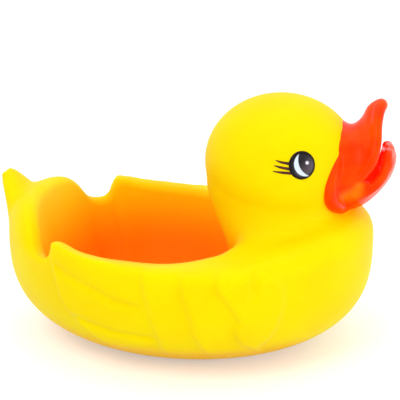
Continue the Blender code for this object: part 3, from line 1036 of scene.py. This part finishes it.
billPaint = {
    "skin": {"Grain Scale": 1500.0, "Wave Scale": 120.0, "Seed": 4.0},
    "colours": (fromScreen(252, 56, 0), fromScreen(254, 74, 0)),  # full, and thinly sprayed
    # Painted shade in the mouth: a deeper red where the lips shut out the light
    "mouth": fromScreen(255, 40, 8),
    "mouthShadeReach": 9.0,
    "mouthShadeOpenness": (0.2, 0.6),  # full and no painted mouth shade, by how much light comes in
    "mouthGlow": 0.6,  # painted glow in the mouth's shade, so that it reads as lit
    "paintedReflection": fromScreen(254, 128, 4),  # painted reflection of the yellow body by the mouth's corners, and a painted highlight at the tip
    "paintedReflectionStrength": 0.85,
    "patches": (  # of the painted reflection and highlight: x, y, z and reach
        (51.2, 14.5, 61.2, 4.4),
        (54.0, 14.5, 62.8, 4.0),
        (55.0, 15.0, 65.4, 3.0),
        (62.9, 0.0, 88.6, 4.6),
    ),
    "roughness": 0.22,
    "roughnessSpread": 0.05,
    "gloss": 0.2,
    "glossTint": (1.0, 0.4, 0.2, 1.0),
    "bump": 0.08,
    "bumpHeight": 0.2,
}


def billMaterial():
    material, tree, shader = newMaterial("orangeRedPaint")
    skin, colour = placeSkin(tree, billPaint)
    place = mirroredPlace(tree)
    # Painted reflection by the mouth's corners and a painted highlight at the tip
    for x, y, z, reach in billPaint["patches"]:
        distance = vectorNode(tree, "DISTANCE", place, placed(x, y, z))
        near = rangeNode(tree, distance, 0.0, reach * mm, (billPaint["paintedReflectionStrength"], 0.0))
        colour = mixColour(tree, near, colour, billPaint["paintedReflection"])
    # Painted shade and painted glow in the mouth, where the lips shut out the light
    mouthShade = shelteredBy(tree, billPaint["mouthShadeReach"], billPaint["mouthShadeOpenness"])
    colour = mixColour(tree, mouthShade, colour, billPaint["mouth"])
    tree.links.new(colour, shader.inputs["Base Color"])
    paintedGlow = mixColour(tree, mouthShade, (0, 0, 0, 1), billPaint["mouth"])
    tree.links.new(paintedGlow, shader.inputs["Emission Color"])
    shader.inputs["Emission Strength"].default_value = billPaint["mouthGlow"]
    roughen(tree, shader, skin["Speck"], billPaint)
    shader.inputs["Specular IOR Level"].default_value = billPaint["gloss"]
    shader.inputs["Specular Tint"].default_value = billPaint["glossTint"]
    bumpFrom(tree, shader, skin["Height"], billPaint)
    return material


eyePrint = {
    "ring": fromScreen(18, 8, 14),
    "ringWidth": 0.8,
    "dark": fromScreen(36, 32, 36),  # the iris, towards the brow
    "light": fromScreen(88, 78, 86),  # and towards the bill
    "lightening": (-2.0, 5.0),  # from dark to light, by how much further forwards than up
    "crescent": fromScreen(222, 234, 247),
    "outer": (1.29, 0.32, 3.99),  # circles round the crescent: forwards, up and radius
    "inner": (4.15, 1.85, 5.55),
    "dotColour": fromScreen(250, 246, 255),
    "dot": (1.65, 0.75, 0.5),
    "blur": 0.16,
    "softBlur": 0.32,  # of the iris and the dot
    "roughness": 0.2,
    "gloss": 0.15,
}


def eyePlace(tree):
    # Forwards and up from the eye's centre in mm, the same on both sides of the head
    centre, _, forward, up = eyeAxes(1)
    local = vectorNode(tree, "SUBTRACT", mirroredPlace(tree), placed(*centre))
    return [vectorNode(tree, "DOT_PRODUCT", local, axis / mm) for axis in (forward, up)]


def insideCircle(tree, place, circle, blur):
    a, b, radius = circle
    across = mathNode(tree, "SUBTRACT", place[0], a)
    upwards = mathNode(tree, "SUBTRACT", place[1], b)
    squares = [mathNode(tree, "MULTIPLY", offset, offset) for offset in (across, upwards)]
    distance = mathNode(tree, "SQRT", mathNode(tree, "ADD", *squares))
    return rangeNode(tree, distance, radius - blur, radius + blur, (1.0, 0.0))


def eyeMaterial():
    material, tree, shader = newMaterial("eyePrint")
    place = eyePlace(tree)
    blur, softBlur = eyePrint["blur"], eyePrint["softBlur"]
    slope = mathNode(tree, "SUBTRACT", place[0], place[1])
    forwards = rangeNode(tree, slope, *eyePrint["lightening"])
    colour = mixColour(tree, forwards, eyePrint["dark"], eyePrint["light"])
    iris = (*eye["offset"], eye["halfWidth"] - eyePrint["ringWidth"])
    within = insideCircle(tree, place, iris, softBlur)
    colour = mixColour(tree, within, eyePrint["ring"], colour)
    outer = insideCircle(tree, place, eyePrint["outer"], blur)
    inner = insideCircle(tree, place, eyePrint["inner"], blur)
    crescent = mathNode(tree, "MULTIPLY", outer, mathNode(tree, "SUBTRACT", 1.0, inner))
    colour = mixColour(tree, crescent, colour, eyePrint["crescent"])
    dot = insideCircle(tree, place, eyePrint["dot"], softBlur)
    colour = mixColour(tree, dot, colour, eyePrint["dotColour"])
    tree.links.new(colour, shader.inputs["Base Color"])
    shader.inputs["Roughness"].default_value = eyePrint["roughness"]
    shader.inputs["Specular IOR Level"].default_value = eyePrint["gloss"]
    return material


lashPaint = {
    "skin": {"Grain Scale": 1800.0, "Wave Scale": 700.0, "Seed": 7.0},
    "colours": (fromScreen(38, 14, 12), fromScreen(92, 34, 8)),  # full, and worn thin
    "roughness": 0.4,
    "roughnessSpread": 0.1,
    "gloss": 0.3,
}


def lashMaterial():
    material, tree, shader = newMaterial("lashPaint")
    skin, colour = placeSkin(tree, lashPaint)
    tree.links.new(colour, shader.inputs["Base Color"])
    roughen(tree, shader, skin["Speck"], lashPaint)
    shader.inputs["Specular IOR Level"].default_value = lashPaint["gloss"]
    return material


def finishPiece(piece, material):
    piece.data.materials.clear()
    piece.data.materials.append(material)
    piece.data.shade_smooth()
    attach(piece, "root")
    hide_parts("duck")


finishPiece(body, vinylMaterial())
finishPiece(paintedBill, billMaterial())
eyeFinish, lashFinish = eyeMaterial(), lashMaterial()
for piece in eyePieces:
    finishPiece(piece, eyeFinish)
for piece in lashPieces:
    finishPiece(piece, lashFinish)
print("materials set")

# Floor, light and camera

studio = {
    "floorSize": 4.0,  # metres
    "floorGap": 0.03,  # mm under the duck
    "floorColour": (0.85, 0.85, 0.85, 1.0),
    "floorRoughness": 0.9,
    "floorGloss": 0.1,
    "floorLift": 0.36,  # brings the floor to white where nothing shades it
    "worldLight": 0.8,
    "lampAim": (0.0, 0.0, 0.045),
    "lamps": (  # name, place, size in metres and power in watts
        ("key", (-0.25, -0.55, 0.75), 0.45, 1.8),
        ("fill", (0.6, -0.4, 0.2), 0.4, 1.0),
        ("top", (0.0, 0.1, 0.9), 0.7, 1.0),
    ),
}


def seenDirectly(tree):
    # 1 for rays that should see the plain white studio: the camera's, and those off gloss
    path = addNode(tree, "ShaderNodeLightPath")
    direct = mathNode(tree, "MAXIMUM", path.outputs["Is Camera Ray"], path.outputs["Is Glossy Ray"])
    return mathNode(tree, "MAXIMUM", direct, path.outputs["Is Transmission Ray"])


def makeFloor():
    bm = bmesh.new()
    bmesh.ops.create_grid(bm, x_segments=1, y_segments=1, size=studio["floorSize"] / 2)
    floor = newPiece("floor", bm)
    floor.location.z = -studio["floorGap"] * mm
    if floor.data.polygons[0].normal.z < 0:
        floor.data.flip_normals()
    material, tree, shader = newMaterial("paleFloor")
    shader.inputs["Base Color"].default_value = studio["floorColour"]
    shader.inputs["Roughness"].default_value = studio["floorRoughness"]
    shader.inputs["Specular IOR Level"].default_value = studio["floorGloss"]
    shader.inputs["Emission Color"].default_value = (1, 1, 1, 1)
    lift = mathNode(tree, "MULTIPLY", seenDirectly(tree), studio["floorLift"])
    tree.links.new(lift, shader.inputs["Emission Strength"])
    floor.data.materials.append(material)


def makeLight():
    world = bpy.context.scene.world or bpy.data.worlds.new("studio")
    bpy.context.scene.world = world
    world.use_nodes = True
    tree = world.node_tree
    background = next(node for node in tree.nodes if node.type == "BACKGROUND")
    background.inputs["Color"].default_value = (1, 1, 1, 1)
    extra = mathNode(tree, "MULTIPLY", seenDirectly(tree), 1 - studio["worldLight"])
    level = mathNode(tree, "ADD", extra, studio["worldLight"])
    tree.links.new(level, background.inputs["Strength"])
    for name, place, size, power in studio["lamps"]:
        lamp = bpy.data.lights.new(name, "AREA")
        lamp.shape = "DISK"
        lamp.size = size
        lamp.energy = power
        lampObject = bpy.data.objects.new(name, lamp)
        lampObject.location = place
        direction = Vector(studio["lampAim"]) - Vector(place)
        lampObject.rotation_mode = "QUATERNION"
        lampObject.rotation_quaternion = direction.to_track_quat("-Z", "Y")
        bpy.context.scene.collection.objects.link(lampObject)


picture = {  # degrees and mm
    "azimuth": 10.0,
    "elevation": 17.0,
    "distance": 350.0,
    "aim": (2.85, 0.0, 50.0),
    "width": 144.4,  # what the picture spans at the aim
    "sensor": 36.0,
    "clipStart": 10.0,
}


def makeCamera():
    azimuth, elevation = math.radians(picture["azimuth"]), math.radians(picture["elevation"])
    direction = Vector((
        math.cos(elevation) * math.sin(azimuth),
        -math.cos(elevation) * math.cos(azimuth),
        math.sin(elevation),
    ))
    camera = bpy.data.objects.new("camera", bpy.data.cameras.new("camera"))
    camera.data.sensor_width = picture["sensor"]
    camera.data.lens = picture["sensor"] * picture["distance"] / picture["width"]
    camera.data.clip_start = picture["clipStart"] * mm
    camera.location = (Vector(picture["aim"]) + direction * picture["distance"]) * mm
    camera.rotation_mode = "QUATERNION"
    camera.rotation_quaternion = (-direction).to_track_quat("-Z", "Y")
    bpy.context.scene.collection.objects.link(camera)
    bpy.context.scene.camera = camera


makeFloor()
makeLight()
makeCamera()
bpy.context.scene.view_settings.view_transform = "Standard"
print("studio set")
